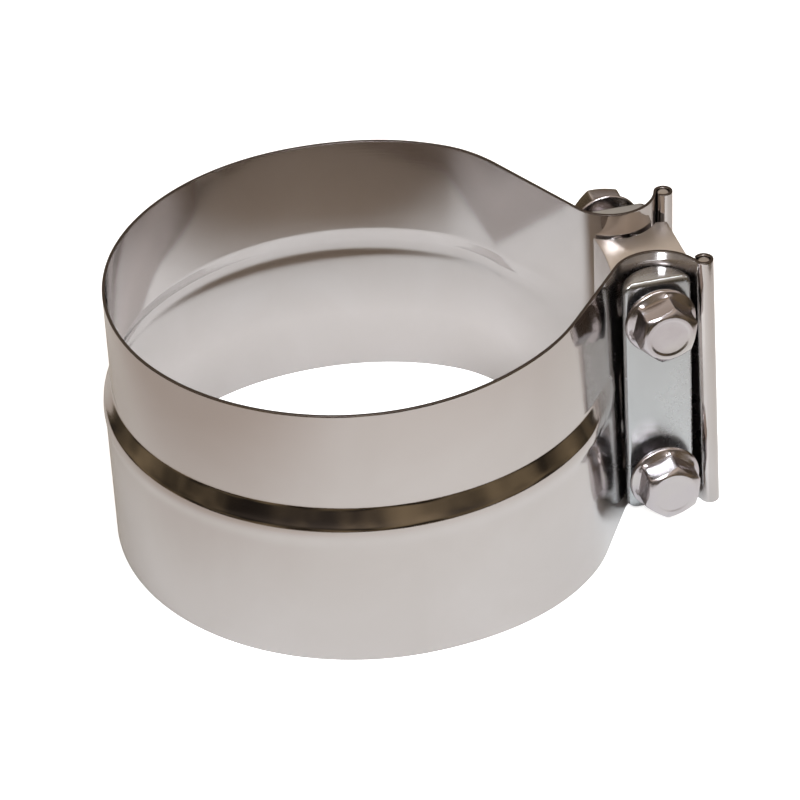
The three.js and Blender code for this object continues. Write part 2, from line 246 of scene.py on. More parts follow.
def skin(loops, closed_ends=True):
    """Quads between neighbouring loops of points, with n-gons over the first and last loop."""
    count = len(loops[0])
    verts = [p for loop in loops for p in loop]
    faces = []
    for here in range(0, (len(loops) - 1) * count, count):
        after = here + count
        for k in range(count):
            n = (k + 1) % count
            faces.append((here + k, here + n, after + n, after + k))
    if closed_ends:
        last = (len(loops) - 1) * count
        faces.append(tuple(range(count)))
        faces.append(tuple(range(last, last + count)))
    return verts, faces


def cut(obj, cutters, sharp=35):
    """Takes the cutters' volume out of an object and applies the result."""
    for cutter in cutters:
        modifier = obj.modifiers.new("hole", "BOOLEAN")
        modifier.operation = "DIFFERENCE"
        modifier.solver = "EXACT"
        modifier.object = cutter
    bpy.context.view_layer.update()
    graph = bpy.context.evaluated_depsgraph_get()
    shaped = bpy.data.meshes.new_from_object(obj.evaluated_get(graph))
    obj.modifiers.clear()
    obj.data = shaped
    obj.data.shade_smooth()
    obj.data.set_sharp_from_angle(angle=math.radians(sharp))
    for cutter in cutters:
        bpy.data.objects.remove(cutter)
    return obj


def drill(radius, x, z, y0, y1):
    """A round cutter along Y."""
    sides = 72
    loops = []
    for y in (y0, y1):
        loops.append([(x + radius * math.cos(2 * math.pi * k / sides), y,
                       z + radius * math.sin(2 * math.pi * k / sides)) for k in range(sides)])
    return make_object("drill", *skin(loops))


# ---- The band: one strip from rolled edge to rolled edge -------------------------------------

def strip_section():
    """Closed section of the sheet as (offset, height), with its cut edges a little rounded."""
    edge = 0.16
    half = SHEET / 2 - 0.04
    heights = [edge, 0.5, 1.2, 3, 7, 12, 17, 22, 27, 31, 34]
    z = 35.0
    while z < 49.5:
        heights.append(z)
        z += 0.4
    heights += [51, 53, 56, 60, 64, 68, 71.5, 73.5, CLAMP_HEIGHT - 0.5, CLAMP_HEIGHT - edge]

    def corner(offset, z, angles):
        return [(offset + edge * math.cos(math.radians(a)), z + edge * math.sin(math.radians(a)))
                for a in angles]

    section = [(half, h) for h in heights]
    section += corner(half - edge, CLAMP_HEIGHT - edge, (30, 60, 90))
    section += corner(-half + edge, CLAMP_HEIGHT - edge, (90, 120, 150))
    section += [(-half, h) for h in reversed(heights)]
    section += corner(-half + edge, edge, (210, 240, 270))
    section += corner(half - edge, edge, (270, 300, 330))
    return section


def make_band():
    """The strip's section carried along its outline, which changes with height."""
    section = strip_section()
    whole = {}
    for z in sorted({z for _, z in section}):
        rear = strip_path(z, SIDES["rear"])
        front = strip_path(z, SIDES["front"])
        points = [Vector((p.x, p.y)) for p in reversed(rear)]
        points += [Vector((p.x, -p.y)) for p in front[1:]]
        normals = []
        for i, p in enumerate(points):
            along = points[min(i + 1, len(points) - 1)] - points[max(i - 1, 0)]
            normals.append(Vector((along.y, -along.x)).normalized())
        whole[z] = (points, normals)
    count = len(next(iter(whole.values()))[0])
    loops = []
    for i in range(count):
        loop = []
        for offset, z in section:
            points, normals = whole[z]
            p = points[i] + normals[i] * offset
            loop.append((RING_X + p.x, p.y, z))
        loops.append(loop)
    band = make_object("clamp_band", *skin(loops), sharp=50)
    cutters = []
    for side in SIDES.values():
        middle = JOINT_Y + side["y"] * (ARC_CENTRE_Y - ARC_RADIUS)
        for z in BOLT_HEIGHTS.values():
            cutters.append(drill(FLANGE_HOLE_RADIUS, RING_X + ARC_CENTRE_X, z + BOLT_DROP,
                                 middle - 12, middle + 12))
    return cut(band, cutters, sharp=50)


def make_rod(name, side):
    """The wire inside a rolled edge, with its cropped ends slightly rounded."""
    end = 0.3

    def axis(z):
        c = on_circle(arc_centre(z, side), BEAD_REACH, ARC_END)
        return Vector((RING_X + c.x, side["y"] * c.y, z))

    low, high = axis(end), axis(CLAMP_HEIGHT - end)
    turn = Vector((0, 0, 1)).rotation_difference((high - low).normalized())
    length = (high - low).length
    profile = [(0.5, 0.02), (1.0, 0.0), (1.22, 0.06), (ROD_RADIUS - 0.05, 0.2), (ROD_RADIUS, 0.4)]
    profile += [(ROD_RADIUS, length * i / 12) for i in range(1, 12)]
    profile += [(r, length - h) for r, h in reversed(profile[:5])]
    sides = 32
    loops = []
    for r, h in profile:
        loops.append([low + turn @ Vector((r * math.cos(2 * math.pi * k / sides),
                                           r * math.sin(2 * math.pi * k / sides), h))
                      for k in range(sides)])
    return make_object(name, *skin(loops))


# ---- Bars and spacer -------------------------------------------------------------------------

def inset(outline, distance):
    """The outline moved inwards along its own normals. Outlines run anticlockwise."""
    result = []
    count = len(outline)
    for i in range(count):
        before, here, after = outline[i - 1], outline[i], outline[(i + 1) % count]
        a = (here - before).normalized()
        b = (after - here).normalized()
        na, nb = Vector((-a.y, a.x)), Vector((-b.y, b.x))
        bisector = (na + nb).normalized()
        reach = distance / max(0.5, bisector.dot(na))
        result.append(here + bisector * reach)
    return result


def prism(outline, low, high, bevel, shrink, steps):
    """Loops of an upright prism whose two ends are rounded over a height and by an inset."""
    rows = []
    for i in range(steps + 1):
        a = math.pi / 2 * i / steps
        rows.append((low + bevel * (1 - math.cos(a)), shrink * (1 - math.sin(a))))
    top = [(low + high - z, d) for z, d in reversed(rows)]
    result = []
    near = [low + bevel + 0.5, low + bevel + 1.2]
    far = [low + high - z for z in reversed(near)]
    walls = near + [mix(low, high, t) for t in (0.1, 0.3, 0.5, 0.7, 0.9)] + far
    for z, d in rows + [(z, 0) for z in walls] + top:
        result.append([(p.x, p.y, z) for p in inset(outline, d)])
    return result


def arc_points(centre, radius, a0, a1, steps):
    return [on_circle(centre, radius, mix(a0, a1, i / steps)) for i in range(steps + 1)]


def bar_outline():
    """Section of a bar: flat outside, round back with a small bevel at each side."""
    half = BAR_WIDTH / 2
    corner = 1.3
    bevel_depth = 0.12
    spread = math.degrees(math.asin(half / BAR_BACK_RADIUS))
    back = Vector((0, BAR_THICKNESS - BAR_BACK_RADIUS))
    outline = [Vector((x, 0)) for x in (-5, 0, 5)]
    outline += arc_points(Vector((half - corner, corner)), corner, -90, 0, 6)
    corner_y = back.y + BAR_BACK_RADIUS * math.cos(math.radians(spread))
    spread -= math.degrees(BAR_BACK_BEVEL / BAR_BACK_RADIUS)
    side_top = corner_y - BAR_BACK_BEVEL
    outline += [Vector((half, side_top)),
                Vector((half - bevel_depth, mix(side_top, corner_y, 0.45)))]
    outline += arc_points(back, BAR_BACK_RADIUS, 90 - spread, 90 + spread, 30)
    outline += [Vector((-half + bevel_depth, mix(side_top, corner_y, 0.45))),
                Vector((-half, side_top))]
    outline += arc_points(Vector((-half + corner, corner)), corner, 180, 270, 6)
    return outline


def bar_face(z):
    """How far a bar's flat outside stands from the joint's middle plane."""
    return ARC_CENTRE_Y - BAR_BACK_RADIUS + BAR_THICKNESS + SPLAY * (1 - z / CLAMP_HEIGHT)


def make_bar(name, side):
    middle = BAR_BOTTOM + BAR_LENGTH / 2
    face_y = JOINT_Y + side["y"] * bar_face(middle)
    half = BAR_LENGTH / 2
    loops = prism(bar_outline(), -half, half, BAR_END_BEVEL, BAR_END_INSET, 8)
    lean = side["y"] * math.atan(SPLAY / CLAMP_HEIGHT)
    place = Matrix.Translation((JOINT_X, face_y, middle)) @ Matrix.Rotation(lean, 4, "X")
    if side["y"] > 0:
        place = place @ Matrix.Rotation(math.pi, 4, "Z")
    rounding = 3.0
    rounded_share = 0.8
    shaped = []
    for loop in loops:
        from_end = half - abs(loop[0][2])
        short = rounding - min(from_end, rounding)
        drawn_in = rounded_share * (rounding - math.sqrt(rounding ** 2 - short ** 2))
        squeeze = 1 - drawn_in / (BAR_WIDTH / 2)
        shaped.append([place @ Vector((x * squeeze, y, z)) for x, y, z in loop])
    bar = make_object(name, *skin(shaped), sharp=40)
    cutters = [drill(BAR_HOLE_RADIUS, JOINT_X, z + BOLT_DROP, face_y - 14, face_y + 14)
               for z in BOLT_HEIGHTS.values()]
    return cut(bar, cutters, sharp=40)


def block_outline():
    """Plan of the spacer: concave inner end, hollow sides round the flanges, flat outer end."""
    ring = Vector((-BOLT_LINE_X, CLOSURE_OFFSET))
    hollow = ARC_RADIUS + SHEET / 2 + BLOCK_GAP
    shift = CLOSE_TRAVEL * ARC_CENTRE_Y / (ARC_CENTRE_X + UPPER_RADIUS)
    centre_x = ARC_CENTRE_X - BOLT_LINE_X
    rear = Vector((centre_x, ARC_CENTRE_Y))
    front = Vector((centre_x + shift, -ARC_CENTRE_Y + CLOSE_TRAVEL))
    outer = BLOCK_OUTER_X - BOLT_LINE_X
    half = BLOCK_HALF_WIDTH

    def side_points(xs, edge, centre, sign):
        """One side at each x: its straight edge, or the hollow where that cuts deeper."""
        points = []
        for x in xs:
            y = edge(x)
            dx = x - centre.x
            if abs(dx) < hollow:
                reach = math.sqrt(hollow * hollow - dx * dx)
                limit = centre.y - reach if sign > 0 else centre.y + reach
                y = min(y, limit) if sign > 0 else max(y, limit)
            points.append(Vector((x, y)))
        return points

    inner_angle = math.degrees(math.asin(half / BLOCK_INNER_RADIUS))

    def meeting_angle(centre, sign):
        """Where the inner end runs into a hollow, in degrees."""
        clear, buried = 0.0, inner_angle
        for _ in range(40):
            middle = (clear + buried) / 2
            point = on_circle(ring, BLOCK_INNER_RADIUS, sign * middle)
            if (point - centre).length > hollow:
                clear = middle
            else:
                buried = middle
        return sign * clear

    def straight_edge(degrees, end_y):
        """The side's edge before it is hollowed, as a function of x."""
        start = on_circle(ring, BLOCK_INNER_RADIUS, degrees)
        return lambda x: mix(start.y, end_y, (x - start.x) / (outer - start.x))

    top_angle, low_angle = meeting_angle(rear, 1), meeting_angle(front, -1)
    corner_top = on_circle(ring, BLOCK_INNER_RADIUS, top_angle)
    corner_low = on_circle(ring, BLOCK_INNER_RADIUS, low_angle)
    low_edge = straight_edge(-inner_angle, -half + CLOSE_TRAVEL)
    top_edge = straight_edge(inner_angle, half)
    steps = 44
    xs_low = [mix(corner_low.x, outer, i / steps) for i in range(steps + 1)]
    xs_top = [mix(outer, corner_top.x, i / steps) for i in range(steps + 1)]
    outline = side_points(xs_low, low_edge, front, -1)
    outline += side_points(xs_top, top_edge, rear, 1)
    inner = arc_points(ring, BLOCK_INNER_RADIUS, top_angle, low_angle, 14)
    outline += inner[1:-1]
    return outline


def make_block():
    outline = [Vector((JOINT_X + p.x, JOINT_Y + p.y)) for p in block_outline()]
    loops = prism(outline, BLOCK_BOTTOM, BLOCK_TOP, 0.2, 0.15, 3)
    block = make_object("spacer", *skin(loops), sharp=40)
    cutters = [drill(BLOCK_HOLE_RADIUS, JOINT_X, z, JOINT_Y - 20, JOINT_Y + 20)
               for z in BOLT_HEIGHTS.values()]
    return cut(block, cutters, sharp=40)


# ---- Fasteners -------------------------------------------------------------------------------

HEX_OFFSETS = (-30, -28.4, -25, -18, -9, 0, 9, 18, 25, 28.4)


def hex_radius(offset):
    flat = ACROSS_FLATS / 2
    return min(flat / math.cos(math.radians(offset)), flat * HEX_CORNER)


def hex_loops(rows, turn, axis_sign, origin):
    """Loops round the Y axis. Each row is a function of the angle past a flat: (radius, height)."""
    loops = []
    for row in rows:
        loop = []
        for sector in range(6):
            for offset in HEX_OFFSETS:
                r, h = row(offset)
                a = math.radians(turn + 30 + 60 * sector + offset)
                loop.append((origin[0] + r * math.sin(a), origin[1] + axis_sign * h,
                             origin[2] + r * math.cos(a)))
        loops.append(loop)
    return loops


def circle_row(radius, height):
    return lambda offset: (radius, height)


def hex_row(height):
    return lambda offset: (hex_radius(offset), height)


def chamfer_row(end, inside, below):
    """The top edge of the hex walls where the cone that takes the corners off meets them."""
    flat = ACROSS_FLATS / 2

    def row(offset):
        r = hex_radius(offset)
        drop = max(0.0, r - flat * CHAMFER_CIRCLE) * math.tan(math.radians(CHAMFER_ANGLE))
        return r - inside, end - drop - below

    return row


def crown_row(end):
    """Halfway in from the top of the hex walls to the chamfer's inner circle."""
    rim = ACROSS_FLATS / 2 * CHAMFER_CIRCLE

    def row(offset):
        r = mix(hex_radius(offset), rim, 0.5)
        return r, end - (r - rim) * 0.62

    return row


def flange_rim_rows(radius):
    return [circle_row(radius - 0.5, 0.0), circle_row(radius - 0.22, 0.07),
            circle_row(radius - 0.05, 0.25), circle_row(radius, 0.5)]


def wall_rows(fillet_start, flange, height):
    """From the flange up a fillet, the hex walls and the chamfer to its inner circle."""
    rim = ACROSS_FLATS / 2 * CHAMFER_CIRCLE
    return [lambda o: (mix(fillet_start, hex_radius(o) + 0.5, 0.6), flange + 0.2),
            lambda o: (hex_radius(o) + 0.22, flange + 0.5),
            lambda o: (hex_radius(o) + 0.05, flange + 0.85),
            hex_row(flange + 1.3), hex_row(height * 0.5),
            chamfer_row(height, 0.0, 0.28), chamfer_row(height, 0.03, 0.12),
            chamfer_row(height, 0.14, 0.0), crown_row(height),
            circle_row(rim, height - 0.02), circle_row(rim - 0.12, height)]


def head_rows():
    """From the bearing face out over the flange and the hex to the middle of the end."""
    rim = HEAD_FLANGE_RADIUS
    top = HEAD_HEIGHT
    rows = [circle_row(BOLT_RADIUS - 0.3, 0.0), circle_row(BOLT_RADIUS + 0.6, 0.0)]
    rows += flange_rim_rows(rim)
    rows += [circle_row(rim - 0.01, 0.75), circle_row(rim - 0.08, 1.02),
             circle_row(rim - 0.24, 1.22), circle_row(rim - 0.5, 1.36), circle_row(rim - 0.9, 1.52)]
    rows += wall_rows(rim - 0.9, HEAD_FLANGE_THICKNESS, top)
    rows += [circle_row(5.55, top), circle_row(5.38, top - 0.03), circle_row(4.98, top - 0.20),
             circle_row(4.75, top - 0.24), circle_row(3.0, top - 0.22), circle_row(0.9, top - 0.21)]
    return rows


def thread_loops(x, z, y0, y1):
    """A shank with a rolled 3/8-16 thread, as rows of a helical relief."""
    sides = 40
    run_out = 1.5
    tip_length = 1.1
    tip_depth = 0.95
    count = int((y1 - y0) / (THREAD_PITCH / 12))
    rows = []
    for i in range(count + 1):
        y = mix(y0, y1, i / count)
        fade = smooth((y - y0) / run_out)
        end = y1 - y
        loop = []
        for k in range(sides):
            a = 2 * math.pi * k / sides
            phase = (y / THREAD_PITCH - k / sides) % 1.0
            ridge = min(1.0, max(0.0, (0.86 - abs(phase - 0.5) * 2) / 0.68))
            r = BOLT_RADIUS - THREAD_DEPTH * (1 - ridge) * fade
            if end < tip_length:
                r = min(r, BOLT_RADIUS - tip_depth + (end / tip_length) * tip_depth)
            loop.append((x + r * math.sin(a), y, z + r * math.cos(a)))
        rows.append(loop)
    return rows


def make_bolt(which):
    """A head and a threaded shank, each closed, which overlap inside the head."""
    stand_off, turn = HEADS[which]
    z = BOLT_HEIGHTS[which]
    bearing = JOINT_Y - bar_face(z) - stand_off
    tip = JOINT_Y + BOLT_REACH
    head_verts, head_faces = skin(hex_loops(head_rows(), turn, -1, (JOINT_X, bearing, z)))
    shank_verts, shank_faces = skin(thread_loops(JOINT_X, z, bearing - 0.4, tip))
    base = len(head_verts)
    verts = head_verts + shank_verts
    faces = head_faces + [tuple(base + i for i in f) for f in shank_faces]
    return make_object(which + "_bolt_detailed", verts, faces, sharp=28)


def nut_rows():
    """From the bore's mouth out over the flange and the hex, and back into the bore."""
    rim = NUT_FLANGE_RADIUS
    bore = NUT_BORE_RADIUS
    top = NUT_HEIGHT
    rows = [circle_row(bore, 0.9), circle_row(bore + 0.75, 0.0)]
    rows += flange_rim_rows(rim)
    rows += [circle_row(rim - 0.03, 0.8), circle_row(rim - 0.15, 1.05),
             circle_row(rim - 0.4, 1.25), circle_row(rim - 0.8, 1.42)]
    rows += wall_rows(rim - 0.8, NUT_FLANGE_THICKNESS, top)
    rows += [circle_row(bore + 0.85, top), circle_row(bore + 0.1, top - 0.75),
             circle_row(bore, top - 0.9)]
    return rows


def make_nut(which):
    z = BOLT_HEIGHTS[which]
    y = JOINT_Y + bar_face(z) + NUT_STAND_OFF
    loops = hex_loops(nut_rows(), NUT_TURN, 1, (JOINT_X, y, z))
    loops.append(loops[0])
    verts, faces = skin(loops, closed_ends=False)
    return make_object(which + "_nut_detailed", verts, faces, sharp=28)


# ---- Materials -------------------------------------------------------------------------------

class Nodes:
    """Short calls for building a node tree over one kind of coordinates."""

    def __init__(self, tree, coordinates):
        self.tree = tree
        self.coords = self.add("ShaderNodeTexCoord").outputs[coordinates]

    def add(self, kind, **settings):
        node = self.tree.nodes.new(kind)
        for key, value in settings.items():
            setattr(node, key, value)
        return node

    def link(self, a, b):
        self.tree.links.new(a, b)

    def axis(self, letter):
        """One coordinate, by its letter."""
        parts = self.add("ShaderNodeSeparateXYZ")
        self.link(self.coords, parts.inputs[0])
        return parts.outputs[letter]

    def scaled(self, scale, rotation=(0, 0, 0)):
        node = self.add("ShaderNodeMapping")
        node.inputs["Scale"].default_value = scale
        node.inputs["Rotation"].default_value = rotation
        self.link(self.coords, node.inputs["Vector"])
        return node.outputs["Vector"]

    def noise(self, vector, scale, detail=3.0, roughness=0.5, distortion=0.0):
        node = self.add("ShaderNodeTexNoise")
        node.inputs["Scale"].default_value = scale
        node.inputs["Detail"].default_value = detail
        node.inputs["Roughness"].default_value = roughness
        node.inputs["Distortion"].default_value = distortion
        self.link(vector, node.inputs["Vector"])
        return node.outputs["Fac"]

    def ramp(self, value, stops):
        node = self.add("ShaderNodeValToRGB")
        elements = node.color_ramp.elements
        for i, (position, colour) in enumerate(stops):
            element = elements[i] if i < 2 else elements.new(position)
            element.position = position
            element.color = (*colour, 1)
        self.link(value, node.inputs["Fac"])
        return node.outputs["Color"]

    def span(self, value, low, high, from_low=0.0, from_high=1.0):
        node = self.add("ShaderNodeMapRange")
        node.inputs["From Min"].default_value = from_low
        node.inputs["From Max"].default_value = from_high
        node.inputs["To Min"].default_value = low
        node.inputs["To Max"].default_value = high
        self.link(value, node.inputs["Value"])
        return node.outputs["Result"]

    def maths(self, operation, a, b):
        node = self.add("ShaderNodeMath", operation=operation)
        for socket, value in zip(node.inputs, (a, b)):
            if isinstance(value, (int, float)):
                socket.default_value = value
            else:
                self.link(value, socket)
        return node.outputs[0]

    def blended(self, share, colour, other):
        node = self.add("ShaderNodeMixRGB")
        self.link(share, node.inputs["Fac"])
        self.link(colour, node.inputs[1])
        node.inputs[2].default_value = (*other, 1)
        return node.outputs["Color"]

    def with_painted_light(self, colour, painted_light_gain):
        """The colour, lightened by painted light: 0 leaves it as it is, 1 doubles it."""
        node = self.add("ShaderNodeVectorMath", operation="SCALE")
        self.link(colour, node.inputs[0])
        self.link(self.maths("ADD", painted_light_gain, 1.0), node.inputs["Scale"])
        return node.outputs["Vector"]

    def facing_the_axis(self):
        """1 on surfaces that face the pipe, 0 on those that face away from it."""
        outward = self.add("ShaderNodeVectorMath", operation="DOT_PRODUCT")
        self.link(self.coords, outward.inputs[0])
        self.link(self.add("ShaderNodeTexCoord").outputs["Normal"], outward.inputs[1])
        return self.span(outward.outputs["Value"], 1.0, 0.0, -0.004, 0.004)

    def sheared_edges(self):
        """1 on the strip's two cut rims, 0 between them."""
        half = CLAMP_HEIGHT * MM / 2
        from_middle = self.maths("ABSOLUTE", self.maths("SUBTRACT", self.axis("Z"), half), 0.0)
        return self.span(from_middle, 0.0, 1.0, half - 0.18 * MM, half - 0.05 * MM)

    def bump(self, height, strength, distance, normal=None):
        node = self.add("ShaderNodeBump")
        node.inputs["Strength"].default_value = strength
        node.inputs["Distance"].default_value = distance
        self.link(height, node.inputs["Height"])
        if normal is not None:
            self.link(normal, node.inputs["Normal"])
        return node.outputs["Normal"]


class Look(Nodes):
    """A material: metal, unless it is told otherwise."""

    def __init__(self, name, metallic=1.0):
        self.material = bpy.data.materials.new(name)
        self.material.use_nodes = True
        super().__init__(self.material.node_tree, "Object")
        self.shader = self.tree.nodes["Principled BSDF"]
        self.shader.inputs["Metallic"].default_value = metallic

    def feed(self, value, socket):
        self.link(value, self.shader.inputs[socket])


def stainless():
    """Bright polished strip: faint rolling grain along the strip, soft waves from forming. Its
    inside has painted reflections, lighter bands by height.
    """
    n = Look("polished_stainless_look")
    grain = n.noise(n.scaled((40, 40, 2600)), 1.0, 4.0, 0.6)
    smudge = n.noise(n.coords, 28.0, 4.0, 0.62, 0.6)
    waves = n.noise(n.scaled((1, 1, 0.45)), 16.0, 1.5, 0.4)
    scratch = n.noise(n.scaled((90, 90, 900), (0.35, 0.2, 0)), 1.0, 8.0, 0.75)
    marks = n.ramp(scratch, [(0.66, (0, 0, 0)), (0.72, (1, 1, 1))])
    tint = n.ramp(smudge, [(0.25, (0.500, 0.465, 0.452)), (0.55, (0.522, 0.488, 0.478)),
                           (0.85, (0.545, 0.516, 0.510))])
    # painted reflections: the colour of the faces towards the pipe is lightened by height, most at
    # 18 mm and 51 mm up, least from 34 to 42 mm
    stops = [(0.0, 0.12), (0.24, 0.24), (0.46, 0.04), (0.56, 0.04), (0.68, 0.15), (1.0, 0.12)]
    height = n.span(n.axis("Z"), 0.0, 1.0, 0.0, CLAMP_HEIGHT * MM)
    painted_light_gain = n.ramp(height, [(at, (g, g, g)) for at, g in stops])
    tint = n.with_painted_light(tint, n.maths("MULTIPLY", n.facing_the_axis(), painted_light_gain))
    cut_edge = n.sheared_edges()
    n.feed(n.blended(cut_edge, tint, (0.105, 0.085, 0.075)), "Base Color")
    base = n.span(smudge, 0.055, 0.12)
    fine = n.maths("MULTIPLY", grain, 0.035)
    rough = n.maths("ADD", base, fine)
    rough = n.maths("ADD", rough, n.maths("MULTIPLY", marks, 0.05))
    rough = n.maths("ADD", rough, n.maths("MULTIPLY", cut_edge, 0.35))
    n.feed(rough, "Roughness")
    normal = n.bump(waves, 0.22, 0.0012)
    normal = n.bump(grain, 0.05, 0.00004, normal)
    normal = n.bump(scratch, 0.04, 0.00006, normal)
    n.feed(normal, "Normal")
    n.shader.inputs["Anisotropic"].default_value = 0.25
    return n.material


def zinc_bar():
    """Bright zinc plate over rolled bar: cool grey with a fine frosty mottle."""
    n = Look("zinc_bar_look")
    mottle = n.noise(n.coords, 420.0, 5.0, 0.65)
    cloud = n.noise(n.scaled((1, 1, 0.5)), 90.0, 3.0, 0.5, 0.4)
    drawn = n.noise(n.scaled((1700, 1700, 60)), 1.0, 4.0, 0.6)
    tint = n.ramp(cloud, [(0.25, (0.450, 0.462, 0.475)), (0.6, (0.495, 0.508, 0.522)),
                          (0.9, (0.545, 0.556, 0.570))])
    n.feed(tint, "Base Color")
    rough = n.maths("ADD", n.span(cloud, 0.16, 0.27), n.maths("MULTIPLY", mottle, 0.09))
    n.feed(rough, "Roughness")
    normal = n.bump(mottle, 0.12, 0.00008)
    normal = n.bump(drawn, 0.05, 0.00004, normal)
    n.feed(normal, "Normal")
    return n.material


def zinc_fastener():
    """Bright zinc on forged heads, a little pink and yellow, with forging dimples."""
    n = Look("zinc_fastener_look")
    pits = n.noise(n.coords, 700.0, 4.0, 0.6)
    cloud = n.noise(n.coords, 170.0, 3.0, 0.55, 0.8)
    hue = n.noise(n.coords, 75.0, 2.0, 0.5)
    tint = n.ramp(hue, [(0.3, (0.475, 0.440, 0.455)), (0.52, (0.515, 0.480, 0.495)),
                        (0.75, (0.550, 0.525, 0.505))])
    n.feed(tint, "Base Color")
    rough = n.maths("ADD", n.span(cloud, 0.10, 0.22), n.maths("MULTIPLY", pits, 0.08))
    n.feed(rough, "Roughness")
    normal = n.bump(cloud, 0.25, 0.00025)
    normal = n.bump(pits, 0.10, 0.00006, normal)
    n.feed(normal, "Normal")
    return n.material


def pin_steel():
    """Drawn wire, sheared at its ends."""
    n = Look("pin_steel_look")
    shear = n.noise(n.scaled((2600, 500, 500), (0, 0, 0.5)), 1.0, 4.0, 0.6)
    cloud = n.noise(n.coords, 500.0, 3.0, 0.5)
    tint = n.ramp(cloud, [(0.3, (0.50, 0.47, 0.45)), (0.7, (0.62, 0.59, 0.57))])
    n.feed(tint, "Base Color")
    n.feed(n.span(shear, 0.22, 0.42), "Roughness")
    n.feed(n.bump(shear, 0.3, 0.0001), "Normal")
    return n.material


def spacer_steel():
    """Satin steel block with the draw lines of its profile running up it."""
    n = Look("spacer_steel_look")
    drawn = n.noise(n.scaled((1500, 1500, 40)), 1.0, 5.0, 0.65)
    cloud = n.noise(n.coords, 120.0, 3.0, 0.5)
    tint = n.ramp(cloud, [(0.25, (0.80, 0.765, 0.745)), (0.75, (0.88, 0.845, 0.825))])
    n.feed(tint, "Base Color")
    rough = n.maths("ADD", n.span(cloud, 0.36, 0.43), n.maths("MULTIPLY", drawn, 0.08))
    n.feed(rough, "Roughness")
    n.feed(n.bump(drawn, 0.15, 0.00008), "Normal")
    return n.material


# ---- Put the pieces on their bodies ----------------------------------------------------------

looks = {
    "polished_stainless": stainless(),
    "zinc_bar": zinc_bar(),
    "zinc_fastener": zinc_fastener(),
    "pin_steel": pin_steel(),
    "spacer_steel": spacer_steel(),
}


def finish_piece(obj, slot, *nodes):
    obj.data.materials.clear()
    obj.data.materials.append(looks[slot])
    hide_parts(*nodes)


band = make_band()
finish_piece(band, "polished_stainless", "band_rear_half", "band_front_half")
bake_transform(band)

rear_rod = make_rod("rear_rod_detailed", SIDES["rear"])
finish_piece(rear_rod, "pin_steel", "rear_edge_rod")
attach(rear_rod, "rear_half")
front_rod = make_rod("front_rod_detailed", SIDES["front"])
finish_piece(front_rod, "pin_steel", "front_edge_rod")
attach(front_rod, "front_half")
rear_bar = make_bar("rear_bar_detailed", SIDES["rear"])
finish_piece(rear_bar, "zinc_bar", "rear_tension_bar")
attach(rear_bar, "rear_half")
front_bar = make_bar("front_bar_detailed", SIDES["front"])
finish_piece(front_bar, "zinc_bar", "front_tension_bar")
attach(front_bar, "front_bar")
block = make_block()
finish_piece(block, "spacer_steel", "spacer_block")
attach(block, "rear_half")
for which in ("upper", "lower"):
    bolt = make_bolt(which)
    finish_piece(bolt, "zinc_fastener", which + "_flange_bolt")
    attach(bolt, which + "_bolt")
    nut = make_nut(which)
    finish_piece(nut, "zinc_fastener", which + "_flange_nut")
    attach(nut, which + "_nut")

# ---- Floor -----------------------------------------------------------------------------------

TABLE_RADIUS = 0.198
TABLE_X = 0.012
FLOOR_RADIUS = 6.0
FLOOR_DROP = 0.00002


def floor_material():
    """Pale and evenly bright to the camera. What it reflects has painted shade: it darkens outwards
    and to the left.
    """
    n = Look("pale_floor_look", metallic=0.0)
    speck = n.noise(n.coords, 9.0, 3.0, 0.5)
    pale = n.ramp(speck, [(0.3, (0.86, 0.855, 0.85)), (0.7, (0.88, 0.878, 0.875))])
    length = n.add("ShaderNodeVectorMath", operation="LENGTH")
    n.link(n.coords, length.inputs[0])
    # painted shade: the floor's colour darkens away from the clamp and towards the left
    away = n.span(length.outputs["Value"], 0.0, 0.62, 0.09, 0.19)
    painted_shade_leftward = n.span(n.axis("X"), 0.62, 0.0, -0.17, -0.06)
    n.feed(n.blended(n.maths("ADD", away, painted_shade_leftward), pale, (0.57, 0.51, 0.47)), "Base Color")
    n.shader.inputs["Roughness"].default_value = 0.9
    n.shader.inputs["Specular IOR Level"].default_value = 0.0
    n.shader.inputs["Emission Color"].default_value = (1, 1, 1, 1)
    seen = n.add("ShaderNodeLightPath").outputs["Is Camera Ray"]
    n.feed(n.maths("MULTIPLY", seen, 0.85), "Emission Strength")
    return n.material


def disc_loop(radius):
    sides = 128
    return [(TABLE_X / MM + radius * math.cos(2 * math.pi * k / sides),
             radius * math.sin(2 * math.pi * k / sides), 0) for k in range(sides)]


floor_look = floor_material()
table_rim = disc_loop(TABLE_RADIUS / MM)
table = make_object("table", table_rim, [tuple(range(len(table_rim)))])
ground = make_object("ground", *skin([table_rim, disc_loop(FLOOR_RADIUS / MM)], closed_ends=False))
for surface in (table, ground):
    surface.data.materials.append(floor_look)
    surface.location.z = -FLOOR_DROP
ground.visible_glossy = False

# ---- Light -----------------------------------------------------------------------------------


